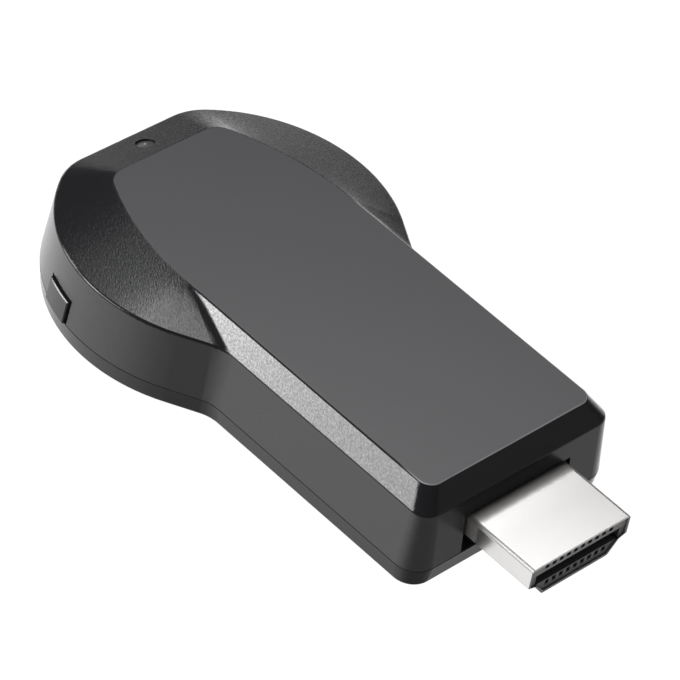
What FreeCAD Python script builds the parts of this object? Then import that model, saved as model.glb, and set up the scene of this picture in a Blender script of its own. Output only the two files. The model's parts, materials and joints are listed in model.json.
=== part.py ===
import FreeCAD, Part
import math
import os

V = FreeCAD.Vector

# A stick that plugs into a display's HDMI socket: a narrow neck behind the plug and a round head.
# All sizes are in millimetres. X runs towards the plug's tip, Z is up and the button is on the -Y side.
# While modelling, x = 0 is the front edge of the wall's top; the last step moves the origin to the
# middle of the box, on the face that it rests on.

# Housing seen from above, at the top of its side wall
body_length = 59.6
neck_half_width = 13.3
head_radius = 18.4
head_end_cut = 1.9
front_corner_radius = 2.0
neck_hollow_radius = 4.5
neck_flare_length = 3.86
rear_corner_radius = 6.7
least_corner = 0.3

# Raised flat on top, inside the sloping shoulder
flat_front = 1.8
flat_rear = 5.4
neck_slope_width = 1.75
flat_corner_radius = 1.6
flat_rear_corner_radius = 2.5
flat_bend_radius = 34.7
crease_setback = 7.3
crease_width = 1.4
crease_to_bend = 0.7

# Heights above the resting face
parting_height = 2.3
wall_top_height = 9.25
overall_height = 11.45

# Slopes, walls and edges
wall_draft = 0.095
base_taper = 0.13
wall = 1.5
roof = 1.3
floor = 1.2
inner_shoulder_drop = 0.5
inner_flat_inset = 0.9
shoulder_round = 0.35
flat_round = 0.3
base_round = 0.5
parting_bevel = 0.05

# Lip that joins the two shells, and the catches on it
lip_height = 0.9
lip_thickness = 0.65
lip_clearance = 0.05
catch_length = 3.0
catch_height = 0.4
catch_reach = 0.25
catch_front_setback = 8.0
catch_rear_ahead = 6.2

# HDMI plug
plug_reach = 9.35
plug_width = 13.9
plug_height = 4.45
plug_side_height = 2.55
plug_step = 1.0
plug_narrow_half = 4.65
plug_sheet = 0.3
plug_step_slope = 0.3
plug_bend = 0.5
plug_least_bend = 0.12
plug_depth = 5.5
plug_rise = 0.1
plug_gap_side = 0.45
plug_gap_top = 0.2
insulator_clearance = 0.03
insulator_setback = 0.2
tongue_slot_half = 5.9
tongue_slot_height = 1.35
tongue_slot_drop = 1.5
tongue_slot_depth = 7.0
contact_pitch = 1.0
upper_contacts = 10
lower_contacts = 9
contact_cell_width = 0.56
contact_cell_height = 0.62
upper_cell_drop = 0.84
lower_cell_drop = 3.34
contact_width = 0.36
contact_thickness = 0.2
contact_setback = 1.0
contact_tail = 2.2
ear_length = 3.2
ear_height = 1.1
ear_clearance = 0.1

# Circuit board and the posts that hold it
board_thickness = 1.0
board_gap = 0.35
board_nose_gap = 0.6
post_radius = 1.3
pin_radius = 0.55
pin_clearance = 0.1
neck_post_setback = 14.0
neck_post_inset = 3.7
head_post_ahead = 4.6
head_post_inset = 4.6

# Button on the side of the head
button_angle = -106.6
button_width = 4.2
button_height = 2.8
button_gap = 0.24
button_base_gap = 0.1
button_proud = 0.35
button_travel = 0.25
button_flange_reach = 0.8
button_flange_thickness = 0.7
button_flange_gap = 0.08
button_edge_bevel = 0.1
nub_width = 1.8
nub_height = 0.9
nub_length = 0.6

# Side-acting switch under the board
switch_depth = 3.0
switch_width = 3.6
switch_height = 1.5
switch_wall = 0.35
plunger_reach = 1.1
plunger_width = 1.5
plunger_height = 0.7
plunger_clearance = 0.05
dome_gap = 0.05
dome_thickness = 0.12
dome_rise = 0.25
switch_cover_thickness = 0.12

# Micro USB socket on the flat end
socket_width = 7.5
socket_height = 2.55
socket_depth = 5.2
socket_sheet = 0.3
socket_bevel = 0.9
socket_setback = 0.5
socket_opening_gap = 0.25
socket_lead_in = 0.4
socket_tongue_width = 3.8
socket_tongue_thickness = 0.65
socket_tongue_reach = 3.2
socket_contacts = 5
socket_contact_pitch = 0.65
socket_contact_width = 0.3
socket_contact_thickness = 0.12
socket_tail = 0.9

# Status light
light_radius = 1.0
light_clearance = 0.05
light_recess = 0.5
light_dome = 0.25
light_bar_height = 0.9
light_bar_width = 1.6
light_bar_gap = 0.18
led_length = 0.8
led_width = 1.6
led_height = 0.6
led_gap = 0.15
led_setback = 2.0

# Shielded processor block and heat path
shield_height = 1.8
shield_sheet = 0.2
shield_gap = 1.0
shield_side_room = 3.8
shield_skirt = 0.7
processor_size = 10.0
processor_height = 1.0
memory_length = 7.0
memory_width = 11.0
memory_height = 0.9
chip_margin = 0.7
chip_gap = 1.2
chip_edge = 0.15
spreader_pad_thickness = 0.5
spreader_thickness = 1.0
spreader_overhang = 0.3
spreader_corner = 2.0
spreader_rib_inset = 3.0
spreader_rib_width = 1.0
spreader_rib_spacing = 7.0

# Radio module on the neck
radio_length = 12.0
radio_width = 13.0
radio_board_thickness = 0.8
radio_can_height = 1.5
radio_can_margin = 0.6
radio_gap = 1.4
antenna_length = 5.0
antenna_width = 2.0
antenna_height = 1.2
antenna_angle = 115.0
antenna_inset = 2.2

# Smaller parts on the board
flash_length = 5.2
flash_width = 5.2
flash_height = 1.6
flash_pins = 4
flash_pin_pitch = 1.27
flash_pin_width = 0.4
flash_pin_thickness = 0.2
flash_pin_reach = 1.3
crystal_length = 3.2
crystal_width = 2.5
crystal_height = 0.8
inductor_size = 3.0
inductor_height = 1.2
inductor_corner = 0.6
inductor_gap = 0.9
bulk_length = 3.5
bulk_width = 2.8
bulk_height = 1.8
bulk_gap = 0.5
ceramic_length = 1.0
ceramic_width = 0.5
ceramic_height = 0.5
ceramic_rows = 3
ceramic_columns = 4
ceramic_pitch = 2.4

# Heights and places that follow from those sizes
head_x = head_radius - head_end_cut - body_length
flat_half_width = neck_half_width - neck_slope_width
flare = wall_draft * (wall_top_height - parting_height)
plug_bottom = parting_height + plug_rise
plug_top = plug_bottom + plug_height
plug_middle = plug_bottom + plug_height / 2
board_bottom = plug_middle - board_thickness / 2
board_top = board_bottom + board_thickness
board_front = -plug_depth - board_nose_gap
button_base = parting_height + button_base_gap
button_top = button_base + button_height
shield_top = board_top + shield_height + shield_sheet
spreader_top = shield_top + spreader_pad_thickness + spreader_thickness
shield_length = processor_size + memory_length + chip_gap + 2 * (chip_margin + shield_sheet)
shield_width = memory_width + 2 * (shield_side_room + shield_sheet)
spreader_length = shield_length + 2 * (shield_sheet + spreader_overhang)
spreader_width = shield_width + 2 * (shield_sheet + spreader_overhang)
centre_shift = (body_length + flare - plug_reach) / 2


def box(x0, x1, y0, y1, z0, z1):
    return Part.makeBox(x1 - x0, y1 - y0, z1 - z0, V(x0, y0, z0))


def block(x, y, z, length, width, height):
    """Block centred on x and y that stands on z."""
    return box(x - length / 2, x + length / 2, y - width / 2, y + width / 2, z, z + height)


def cylinder(x, y, z0, z1, radius):
    return Part.makeCylinder(radius, z1 - z0, V(x, y, z0))


def fused(shapes):
    whole = shapes[0]
    for shape in shapes[1:]:
        whole = whole.fuse(shape)
    return whole.removeSplitter()


def rounded(shape, radius, wanted):
    return shape.makeFillet(radius, [edge for edge in shape.Edges if wanted(edge)])


def bevelled(shape, width, wanted):
    return shape.makeChamfer(width, [edge for edge in shape.Edges if wanted(edge)])


def level_edge(edge, height):
    return all(abs(vertex.Z - height) < 1e-4 for vertex in edge.Vertexes)


def upright_edge(edge):
    ends = [vertex.Point for vertex in edge.Vertexes]
    return (ends[0] - ends[-1]).cross(V(0, 0, 1)).Length < 1e-6


def flare_at(height):
    """How far the drafted wall stands outside its top edge."""
    return wall_draft * (wall_top_height - height)


def bend(centre, radius, start, end):
    """Middle and end of an arc between two directions in degrees."""
    def point(angle):
        turn = math.radians(angle)
        return (centre[0] + radius * math.cos(turn), centre[1] + radius * math.sin(turn))
    return point((start + end) / 2), point(end)


def straight(x, y):
    return None, (x, y)


def flare_angle():
    """Angle between the neck's side wall and the straight flare that is tangent to the head."""
    reach = head_radius + neck_hollow_radius
    span = math.hypot(reach, neck_flare_length)
    return math.acos((neck_half_width + neck_hollow_radius) / span) - math.atan2(neck_flare_length, reach)


def flare_start_x():
    """Where the neck's side wall starts to flare out to the head."""
    across = (neck_half_width + neck_hollow_radius) * math.cos(flare_angle())
    return head_x + (head_radius + neck_hollow_radius - across) / math.sin(flare_angle())


def housing_path(grow):
    """Half outline of the side wall from front to rear, grown outwards by an equal distance."""
    side = neck_half_width + grow
    corner = max(front_corner_radius + grow, least_corner)
    head = head_radius + grow
    hollow = neck_hollow_radius - grow
    rear = -body_length - grow
    rear_corner = max(rear_corner_radius + grow, least_corner)
    hollow_x = flare_start_x()
    tangent = 90 - math.degrees(flare_angle())
    flare_end = bend((head_x, 0), head, 0, tangent)[1]
    corner_x = rear + rear_corner
    corner_y = math.sqrt((head - rear_corner) ** 2 - (corner_x - head_x) ** 2)
    corner_angle = math.degrees(math.atan2(corner_y, corner_x - head_x))
    return (grow, 0), [
        straight(grow, side - corner),
        bend((grow - corner, side - corner), corner, 0, 90),
        straight(hollow_x, side),
        bend((hollow_x, side + hollow), hollow, 270, 180 + tangent),
        straight(*flare_end),
        bend((head_x, 0), head, tangent, corner_angle),
        bend((corner_x, corner_y), rear_corner, corner_angle, 180),
        straight(rear, 0),
    ]


def flat_path(grow):
    """Half outline of the raised flat, with one run for each run of the side wall's outline."""
    front = grow - flat_front
    side = flat_half_width + grow
    corner = max(flat_corner_radius + grow, least_corner)
    rear = flat_rear - body_length - grow
    rear_corner = max(flat_rear_corner_radius + grow, least_corner)
    bend_radius = flat_bend_radius + grow
    crease_x = flare_start_x() - crease_setback
    bend_x = crease_x - crease_width - crease_to_bend
    middle_y = side - bend_radius
    corner_x = rear + rear_corner
    corner_y = middle_y + math.sqrt((bend_radius - rear_corner) ** 2 - (corner_x - bend_x) ** 2)
    corner_angle = math.degrees(math.atan2(corner_y - middle_y, corner_x - bend_x))
    return (front, 0), [
        straight(front, side - corner),
        bend((front - corner, side - corner), corner, 0, 90),
        straight(crease_x, side),
        straight(crease_x - crease_width, side),
        straight(bend_x, side),
        bend((bend_x, middle_y), bend_radius, 90, corner_angle),
        bend((corner_x, corner_y), rear_corner, corner_angle, 180),
        straight(rear, 0),
    ]


def ring(path, height):
    """Closed wire at a height, from a half outline and its mirror image."""
    start, runs = path
    edges = []
    for side in (1, -1):
        here = V(start[0], side * start[1], height)
        half = []
        for middle, end in runs:
            there = V(end[0], side * end[1], height)
            if middle is None:
                half.append(Part.makeLine(here, there))
            else:
                half.append(Part.Arc(here, V(middle[0], side * middle[1], height), there).toShape())
            here = there
        edges += half if side == 1 else half[::-1]
    return Part.Wire(edges)


def skin(*rings):
    return Part.makeLoft(list(rings), True, True)


def prism(path, bottom, top):
    return Part.Face(ring(path, bottom)).extrude(V(0, 0, top - bottom))


def at_button(shape):
    """Turns a shape that is modelled along +X of the head to the button's place."""
    turned = shape.copy()
    turned.rotate(V(head_x, 0, 0), V(0, 0, 1), button_angle)
    return turned


def mirrored(shape):
    """The same shape on the other side of the middle plane."""
    return shape.mirror(V(0, 0, 0), V(0, 1, 0))


def button_box(inner, outer, width, bottom, top):
    return at_button(box(head_x + inner, head_x + outer, -width / 2, width / 2, bottom, top))


def post_places():
    head_y = math.sqrt(head_radius ** 2 - head_post_ahead ** 2) - head_post_inset
    neck_y = neck_half_width - neck_post_inset
    return [
        (x, side * y)
        for x, y in ((-neck_post_setback, neck_y), (head_x + head_post_ahead, head_y))
        for side in (1, -1)
    ]


def catch_boxes(grow, bottom, top):
    """Boxes across the wall where the shells catch, grown outwards by an equal distance."""
    reach = neck_half_width + grow
    return [
        block(x, side * reach / 2, bottom, catch_length, reach, top - bottom)
        for x in (-catch_front_setback, flare_start_x() + catch_rear_ahead)
        for side in (1, -1)
    ]


def outer_skin(grow):
    """Drafted side wall and sloping shoulder up to the flat, grown outwards by an equal distance."""
    bevel_top = parting_height + parting_bevel
    return skin(
        ring(housing_path(flare + grow - parting_bevel), parting_height),
        ring(housing_path(flare_at(bevel_top) + grow), bevel_top),
        ring(housing_path(grow), wall_top_height),
        ring(flat_path(grow), overall_height),
    )


def hollow_skin():
    """Space inside the top shell."""
    return skin(
        ring(housing_path(flare - wall), parting_height),
        ring(housing_path(-wall), wall_top_height - inner_shoulder_drop),
        ring(flat_path(-inner_flat_inset), overall_height - roof),
    )


def roof_posts():
    """Posts with pin holes that press on the board, ribs on the heat spreader and a clamp on the plug."""
    posts = []
    for x, y in post_places():
        post = cylinder(x, y, board_top, overall_height, post_radius)
        pin_hole = cylinder(x, y, board_top, board_top + 2 * pin_radius, pin_radius + pin_clearance)
        posts.append(post.cut(pin_hole))
    for step in (-1, 0, 1):
        posts.append(
            block(
                shield_x() + step * spreader_rib_spacing, 0, spreader_top, spreader_rib_width,
                spreader_width - 2 * spreader_rib_inset, overall_height - spreader_top,
            )
        )
    clamp_room = plug_depth - wall
    clamp_height = overall_height - plug_top
    posts.append(block(-wall - clamp_room / 2, 0, plug_top, clamp_room / 2, plug_width / 2, clamp_height))
    return posts


def plug_opening():
    half = plug_width / 2 + plug_gap_side
    return box(-2 * wall, 2 * flare + wall, -half, half, parting_height - wall, plug_top + plug_gap_top)


def button_opening():
    outer = head_radius + 2 * wall
    inner = head_radius - wall - flare
    width = button_width + 2 * button_gap
    return button_box(inner, outer, width, parting_height - wall, button_top + button_gap)


def socket_mouth_x():
    return socket_setback - body_length - flare_at(socket_middle())


def socket_middle():
    return board_top + socket_height / 2


def socket_profile(x, grow):
    """Section of the socket's shell: a flat top and slanted lower corners, with its wide side up."""
    half = socket_width / 2 + grow
    bottom = board_top - grow
    top = board_top + socket_height + grow
    bevel = socket_bevel
    points = [
        V(x, -half, top), V(x, -half, bottom + bevel), V(x, bevel - half, bottom),
        V(x, half - bevel, bottom), V(x, half, bottom + bevel), V(x, half, top), V(x, -half, top),
    ]
    return Part.Face(Part.makePolygon(points))


def socket_opening():
    """Hole for the socket with a lead-in at the outer face."""
    mouth = socket_mouth_x()
    through = socket_profile(mouth - wall, socket_opening_gap).extrude(V(3 * wall, 0, 0))
    outside = mouth - socket_setback
    wide = socket_profile(outside - socket_lead_in, socket_opening_gap + 2 * socket_lead_in)
    narrow = socket_profile(outside + socket_lead_in, socket_opening_gap)
    return through.fuse(Part.makeLoft([wide.OuterWire, narrow.OuterWire], True, True))


def light_x():
    return flat_rear / 2 - body_length


def light_surface():
    """Height of the sloping shoulder where the status light shows."""
    return (wall_top_height + overall_height) / 2


def make_top_shell():
    outer = outer_skin(0)
    outer = rounded(outer, shoulder_round, lambda edge: level_edge(edge, wall_top_height))
    outer = rounded(outer, flat_round, lambda edge: level_edge(edge, overall_height))
    hollow = hollow_skin()
    for post in roof_posts():
        hollow = hollow.cut(post)
    groove_depth = wall - lip_thickness - lip_clearance
    groove = prism(
        housing_path(flare - groove_depth), parting_height, parting_height + lip_height + lip_clearance
    )
    shell = outer.cut(hollow).cut(groove)
    shell = shell.cut(plug_opening()).cut(button_opening()).cut(socket_opening())
    shell = shell.cut(cylinder(light_x(), 0, board_top, overall_height, light_radius + light_clearance))
    catch_bottom = parting_height + lip_height - catch_height - lip_clearance
    pocket = catch_boxes(
        flare - groove_depth + catch_reach + lip_clearance, catch_bottom - lip_clearance,
        catch_bottom + catch_height + lip_clearance,
    )
    for notch in pocket:
        shell = shell.cut(notch)
    return shell


def make_bottom_shell():
    outer = skin(
        ring(housing_path(flare - base_taper * parting_height), 0),
        ring(housing_path(flare - base_taper * parting_bevel), parting_height - parting_bevel),
        ring(housing_path(flare - parting_bevel), parting_height),
    )
    outer = rounded(outer, base_round, lambda edge: level_edge(edge, 0))
    tray = outer.cut(prism(housing_path(flare - wall), floor, parting_height))
    lip_outer = housing_path(flare - wall + lip_thickness)
    lip = prism(lip_outer, floor, parting_height + lip_height)
    lip = lip.cut(prism(housing_path(flare - wall), floor, parting_height + lip_height))
    catch_bottom = parting_height + lip_height - catch_height - lip_clearance
    catch_top = catch_bottom + catch_height
    lip_slice = prism(lip_outer, catch_bottom, catch_top)
    catch_edge = flare - wall + lip_thickness + catch_reach
    beads = [bead.cut(lip_slice) for bead in catch_boxes(catch_edge, catch_bottom, catch_top)]
    lip = lip.cut(plug_opening())
    lip = lip.cut(box(-2 * wall, wall, -plug_width, plug_width, parting_height, plug_top))
    flange_room = button_width + 2 * button_flange_reach + 2 * button_gap
    near = head_radius - 2 * wall
    lip = lip.cut(button_box(near, head_radius + wall, flange_room, parting_height, plug_top))
    shell = tray.fuse(lip)
    for bead in beads:
        shell = shell.fuse(bead)
    for x, y in post_places():
        shell = shell.fuse(cylinder(x, y, floor, board_bottom, post_radius))
        shell = shell.fuse(cylinder(x, y, board_bottom, board_top + pin_radius, pin_radius))
    cradle_length = plug_depth - wall
    shell = shell.fuse(
        block(-wall - cradle_length / 2, 0, floor, cradle_length / 2, plug_width / 2, plug_bottom - floor)
    )
    return shell.removeSplitter()


def outer_button_edge(edge):
    """True for the edges round the face of the cap."""
    return all(math.hypot(vertex.X - head_x, vertex.Y) > head_radius for vertex in edge.Vertexes)


def make_button():
    """Cap whose face follows the wall, a flange behind the wall and a nub that meets the plunger."""
    far = head_radius + 2 * wall
    near = head_radius - 2 * wall
    face = outer_skin(button_proud).common(button_box(near, far, button_width, button_base, button_top))
    face = face.cut(outer_skin(-wall))
    face = bevelled(face, button_edge_bevel, outer_button_edge)
    flange_outer = outer_skin(-wall - button_flange_gap)
    flange_inner = outer_skin(-wall - button_flange_gap - button_flange_thickness)
    flange_width = button_width + 2 * button_flange_reach
    flange = button_box(near, far, flange_width, button_base, button_top + button_flange_reach)
    flange = flange.common(flange_outer).cut(flange_inner)
    neck = button_box(near, far, button_width, button_base, button_top)
    neck = neck.common(outer_skin(-wall / 2)).cut(flange_inner)
    middle = plunger_middle()
    nub = button_box(
        plunger_tip(), head_radius - wall, nub_width, middle - nub_height / 2, middle + nub_height / 2
    )
    nub = nub.common(outer_skin(-wall - button_flange_gap))
    return face.fuse(neck).fuse(flange).fuse(nub).removeSplitter()


def flange_inner_radius():
    return head_radius - wall - button_flange_gap - button_flange_thickness


def plunger_tip():
    return flange_inner_radius() - nub_length


def plunger_middle():
    return board_bottom - switch_height / 2


def plunger_tail():
    dome_front = switch_front() - switch_depth + switch_wall + dome_rise + dome_thickness
    return dome_front + button_travel + dome_gap


def switch_front():
    return plunger_tip() - plunger_reach


def switch_room(inner, outer, shrink):
    """Box inside the switch, shrunk on its sides."""
    width = switch_width - 2 * switch_wall - 2 * shrink
    bottom = board_bottom - switch_height + switch_cover_thickness + shrink
    return button_box(inner, outer, width, bottom, board_bottom - switch_wall - shrink)


def make_switch_housing():
    back = switch_front() - switch_depth
    bottom = board_bottom - switch_height + switch_cover_thickness
    housing = button_box(back, switch_front(), switch_width, bottom, board_bottom)
    housing = housing.cut(switch_room(back + switch_wall, switch_front() - switch_wall, 0))
    return housing.cut(plunger_block(plunger_clearance, back + switch_depth / 2, head_radius))


def plunger_block(grow, inner, outer):
    half = plunger_height / 2 + grow
    middle = plunger_middle()
    return button_box(inner, outer, plunger_width + 2 * grow, middle - half, middle + half)


def make_plunger():
    """Stem that the cap pushes, with a shoulder that keeps it in the switch."""
    stem = plunger_block(0, plunger_tail(), plunger_tip())
    shoulder_outer = switch_front() - switch_wall - plunger_clearance
    shoulder_inner = plunger_tail()
    middle = plunger_middle()
    half = plunger_height / 2
    shoulder = button_box(
        shoulder_inner, shoulder_outer, switch_width - 2 * switch_wall - 4 * plunger_clearance,
        middle - half, middle + half,
    )
    return stem.fuse(shoulder).removeSplitter()


def make_dome():
    """Domed spring strip that snaps over and pushes the plunger back."""
    back = switch_front() - switch_depth + switch_wall
    half = switch_width / 2 - switch_wall - plunger_clearance
    outer = Part.Arc(
        V(head_x + back, -half, 0), V(head_x + back + dome_rise, 0, 0), V(head_x + back, half, 0)
    ).toShape()
    inner = outer.copy()
    inner.translate(V(dome_thickness, 0, 0))
    ends = [
        Part.makeLine(V(head_x + back, side * half, 0), V(head_x + back + dome_thickness, side * half, 0))
        for side in (1, -1)
    ]
    strip = Part.Face(Part.Wire(Part.__sortEdges__([outer, inner] + ends)))
    middle = plunger_middle()
    strip.translate(V(0, 0, middle - plunger_height / 2))
    return at_button(strip.extrude(V(0, 0, plunger_height)))


def make_switch_cover():
    """Sheet over the switch with two side legs."""
    bottom = board_bottom - switch_height
    back = switch_front() - switch_depth
    width = switch_width + 2 * switch_cover_thickness
    sheet = button_box(back, switch_front(), width, bottom, bottom + switch_cover_thickness)
    leg = box(
        head_x + back + switch_depth / 4, head_x + switch_front() - switch_depth / 4,
        switch_width / 2, width / 2, bottom, board_bottom,
    )
    return fused([sheet, at_button(leg), at_button(mirrored(leg))])


def rounded_outline(x, points, radii):
    """Face across X whose corners, given as (y, z), are rounded by the radii given for them."""
    corners = [V(x, y, z) for y, z in points]
    edges = []
    starts = []
    for number, corner in enumerate(corners):
        before = (corners[number - 1] - corner).normalize()
        after = (corners[(number + 1) % len(corners)] - corner).normalize()
        half_angle = before.getAngle(after) / 2
        reach = radii[number] / math.tan(half_angle)
        bisector = (before + after).normalize()
        middle = corner + bisector * (radii[number] / math.sin(half_angle) - radii[number])
        starts.append((corner + before * reach, middle, corner + after * reach))
    for number, (enter, middle, leave) in enumerate(starts):
        edges.append(Part.Arc(enter, middle, leave).toShape())
        edges.append(Part.makeLine(leave, starts[(number + 1) % len(starts)][0]))
    return Part.Face(Part.Wire(edges))


def plug_profile(x, inset):
    """Section of the plug: square wide side up, a step in on each side and a slanted lower part."""
    half = plug_width / 2 - inset
    shoulder = plug_top - plug_side_height
    step_half = half - plug_step
    step_drop = plug_step * plug_step_slope
    narrow = plug_narrow_half - inset / 2
    outer_bend = max(plug_bend - inset, plug_least_bend)
    inner_bend = plug_least_bend + inset
    right = [
        (half, plug_top - inset),
        (half, shoulder),
        (step_half, shoulder - step_drop),
        (narrow, plug_bottom + inset),
    ]
    left = [(-y, z) for y, z in right[::-1]]
    radii = [outer_bend, plug_least_bend, inner_bend, outer_bend]
    return rounded_outline(x, right + left, radii + radii[::-1])


def make_plug_shell():
    length = plug_reach + plug_depth
    tube = plug_profile(-plug_depth, 0).extrude(V(length, 0, 0))
    tube = tube.cut(plug_profile(-plug_depth, plug_sheet).extrude(V(length, 0, 0)))
    ear = box(
        -plug_depth - ear_length, -plug_depth, plug_width / 2 - plug_sheet, plug_width / 2,
        plug_middle - ear_height, plug_middle + ear_height,
    )
    return fused([tube, ear, mirrored(ear)])


def contact_places():
    """Side to side place, height and row of each contact, with row 1 on top and row -1 below."""
    places = []
    for count, drop, row in ((upper_contacts, upper_cell_drop, 1), (lower_contacts, lower_cell_drop, -1)):
        for number in range(count):
            places.append(((number - (count - 1) / 2) * contact_pitch, plug_top - drop, row))
    return places


def make_insulator():
    inset = plug_sheet + insulator_clearance
    front = plug_reach - insulator_setback
    body = plug_profile(-plug_depth, inset).extrude(V(front + plug_depth, 0, 0))
    slot_top = plug_top - tongue_slot_drop
    body = body.cut(
        box(
            front - tongue_slot_depth, front + wall, -tongue_slot_half, tongue_slot_half,
            slot_top - tongue_slot_height, slot_top,
        )
    )
    for y, z, row in contact_places():
        body = body.cut(
            block(
                (front - plug_depth) / 2, y, z - contact_cell_height / 2,
                front + plug_depth + wall, contact_cell_width, contact_cell_height,
            )
        )
    return body


def make_contacts():
    """Contacts in their cells; behind the plug each one steps to its own face of the board."""
    front = plug_reach - insulator_setback - contact_setback
    solids = []
    for y, z, row in contact_places():
        blade = box(
            -plug_depth, front, y - contact_width / 2, y + contact_width / 2,
            z - contact_thickness / 2, z + contact_thickness / 2,
        )
        if row > 0:
            seat = board_top
            levels = (seat, z + contact_thickness / 2)
        else:
            seat = board_bottom - contact_thickness
            levels = (z - contact_thickness / 2, board_bottom)
        riser = box(
            -plug_depth - contact_thickness, -plug_depth, y - contact_width / 2, y + contact_width / 2,
            min(levels), max(levels),
        )
        tail = box(
            -plug_depth - contact_tail, -plug_depth, y - contact_width / 2, y + contact_width / 2,
            seat, seat + contact_thickness,
        )
        solids.append(fused([blade, riser, tail]))
    return Part.makeCompound(solids)


def make_board():
    """Board with the housing's outline, a straight nose at the plug, post holes, slots and a notch."""
    grow = flare_at(board_top) - wall - board_gap
    board = prism(housing_path(grow), board_bottom, board_top)
    reach = neck_half_width + wall
    board = board.cut(box(board_front, wall, -reach, reach, board_bottom, board_top))
    for x, y in post_places():
        board = board.cut(cylinder(x, y, board_bottom, board_top, pin_radius + pin_clearance))
    slot_length = 2 * (ear_length - board_nose_gap + ear_clearance)
    slot_width = plug_sheet + 2 * ear_clearance
    for side in (1, -1):
        middle = side * (plug_width - plug_sheet) / 2
        slot = block(board_front, middle, board_bottom, slot_length, slot_width, board_thickness)
        board = board.cut(slot)
    notch_depth = flange_inner_radius() - button_travel - 2 * button_flange_gap
    notch_width = button_width + 2 * button_flange_reach + 2 * button_gap
    board = board.cut(
        button_box(notch_depth, head_radius + wall, notch_width, board_bottom, board_top)
    )
    return board


def chip(x, y, z, length, width, height):
    """Moulded package with bevelled upper edges."""
    body = block(x, y, z, length, width, height)
    return bevelled(body, chip_edge, lambda edge: level_edge(edge, z + height))


def make_shield_frame():
    outer = block(shield_x(), 0, board_top, shield_length, shield_width, shield_height)
    return outer.cut(
        block(
            shield_x(), 0, board_top, shield_length - 2 * shield_sheet,
            shield_width - 2 * shield_sheet, shield_height,
        )
    )


def make_shield_cover():
    length = shield_length + 2 * shield_sheet
    width = shield_width + 2 * shield_sheet
    top = board_top + shield_height
    plate = block(shield_x(), 0, top - shield_skirt, length, width, shield_skirt + shield_sheet)
    return plate.cut(block(shield_x(), 0, top - shield_skirt, shield_length, shield_width, shield_skirt))


def power_parts_x():
    """Middle of the coils beside the socket."""
    return socket_mouth_x() + socket_depth + inductor_gap + inductor_size / 2


def shield_x():
    return power_parts_x() + inductor_size / 2 + shield_gap + shield_sheet + shield_length / 2


def processor_x():
    return shield_x() + shield_length / 2 - shield_sheet - chip_margin - processor_size / 2


def memory_x():
    return shield_x() - shield_length / 2 + shield_sheet + chip_margin + memory_length / 2


def make_spreader():
    bottom = shield_top + spreader_pad_thickness
    plate = block(shield_x(), 0, bottom, spreader_length, spreader_width, spreader_thickness)
    return rounded(plate, spreader_corner, upright_edge)


def radio_x():
    return shield_x() + shield_length / 2 + shield_sheet + radio_gap + radio_length / 2


def make_antenna():
    radius = head_radius - wall - antenna_inset
    middle = head_x + radius - antenna_width / 2
    aerial = block(middle, 0, board_top, antenna_width, antenna_length, antenna_height)
    aerial.rotate(V(head_x, 0, 0), V(0, 0, 1), antenna_angle)
    return aerial


def make_flash():
    """Eight-lead package under the board."""
    x = radio_x() - radio_length / 2 + flash_length / 2
    bottom = board_bottom - flash_height
    solids = [block(x, 0, bottom, flash_length, flash_width, flash_height - flash_pin_thickness)]
    edge = flash_width / 2
    knee = edge + flash_pin_thickness
    tip = edge + flash_pin_reach
    foot = board_bottom - flash_pin_thickness
    for number in range(flash_pins):
        pin_x = x + (number - (flash_pins - 1) / 2) * flash_pin_pitch
        near, far = pin_x - flash_pin_width / 2, pin_x + flash_pin_width / 2
        riser = box(near, far, edge, knee, board_bottom - flash_height / 2, board_bottom)
        pin = riser.fuse(box(near, far, edge, tip, foot, board_bottom))
        solids += [pin, mirrored(pin)]
    return fused(solids)


def make_inductors():
    x = power_parts_x()
    solids = []
    for side in (1, -1):
        coil = block(x, side * (socket_width / 2 + inductor_size / 2), board_top,
                     inductor_size, inductor_size, inductor_height)
        solids.append(rounded(coil, inductor_corner, upright_edge))
    return Part.makeCompound(solids)


def make_bulk_capacitors():
    """A capacitor on each side of the radio module."""
    x = radio_x() - radio_length / 2 + bulk_length / 2
    y = radio_width / 2 + bulk_gap + bulk_width / 2
    return Part.makeCompound([
        chip(x, side * y, board_top, bulk_length, bulk_width, bulk_height) for side in (1, -1)
    ])


def make_ceramic_capacitors():
    solids = []
    for row in range(ceramic_rows):
        for column in range(ceramic_columns):
            x = processor_x() + (row - (ceramic_rows - 1) / 2) * ceramic_pitch
            y = (column - (ceramic_columns - 1) / 2) * ceramic_pitch
            solids.append(
                block(x, y, board_bottom - ceramic_height, ceramic_length, ceramic_width, ceramic_height)
            )
    return Part.makeCompound(solids)


def make_light_pipe():
    """Clear pin in the shoulder's hole, a bar over the socket and a leg down to the light."""
    x = light_x()
    bar_bottom = board_top + socket_height + light_bar_gap
    bar_top = bar_bottom + light_bar_height
    top = light_surface() - light_recess
    pin = cylinder(x, 0, bar_bottom, top - light_dome, light_radius)
    dome_radius = (light_radius ** 2 + light_dome ** 2) / (2 * light_dome)
    dome = Part.makeSphere(dome_radius, V(x, 0, top - dome_radius))
    lens = cylinder(x, 0, top - light_dome, top, light_radius).common(dome)
    reach = led_x() - x + light_bar_width / 2
    bar = box(x, x + reach, -light_bar_width / 2, light_bar_width / 2, bar_bottom, bar_top)
    leg = block(
        led_x(), 0, board_top + led_height + led_gap, light_bar_width, light_bar_width,
        bar_top - board_top - led_height - led_gap,
    )
    return fused([pin, lens, bar, leg])


def led_x():
    return socket_mouth_x() + socket_depth + led_setback


def make_socket_shell():
    mouth = socket_mouth_x()
    tube = socket_profile(mouth, 0).extrude(V(socket_depth, 0, 0))
    return tube.cut(socket_profile(mouth, -socket_sheet).extrude(V(socket_depth, 0, 0)))


def socket_tongue_bottom():
    return board_top + socket_height - socket_sheet - 2 * socket_tongue_thickness


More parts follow.
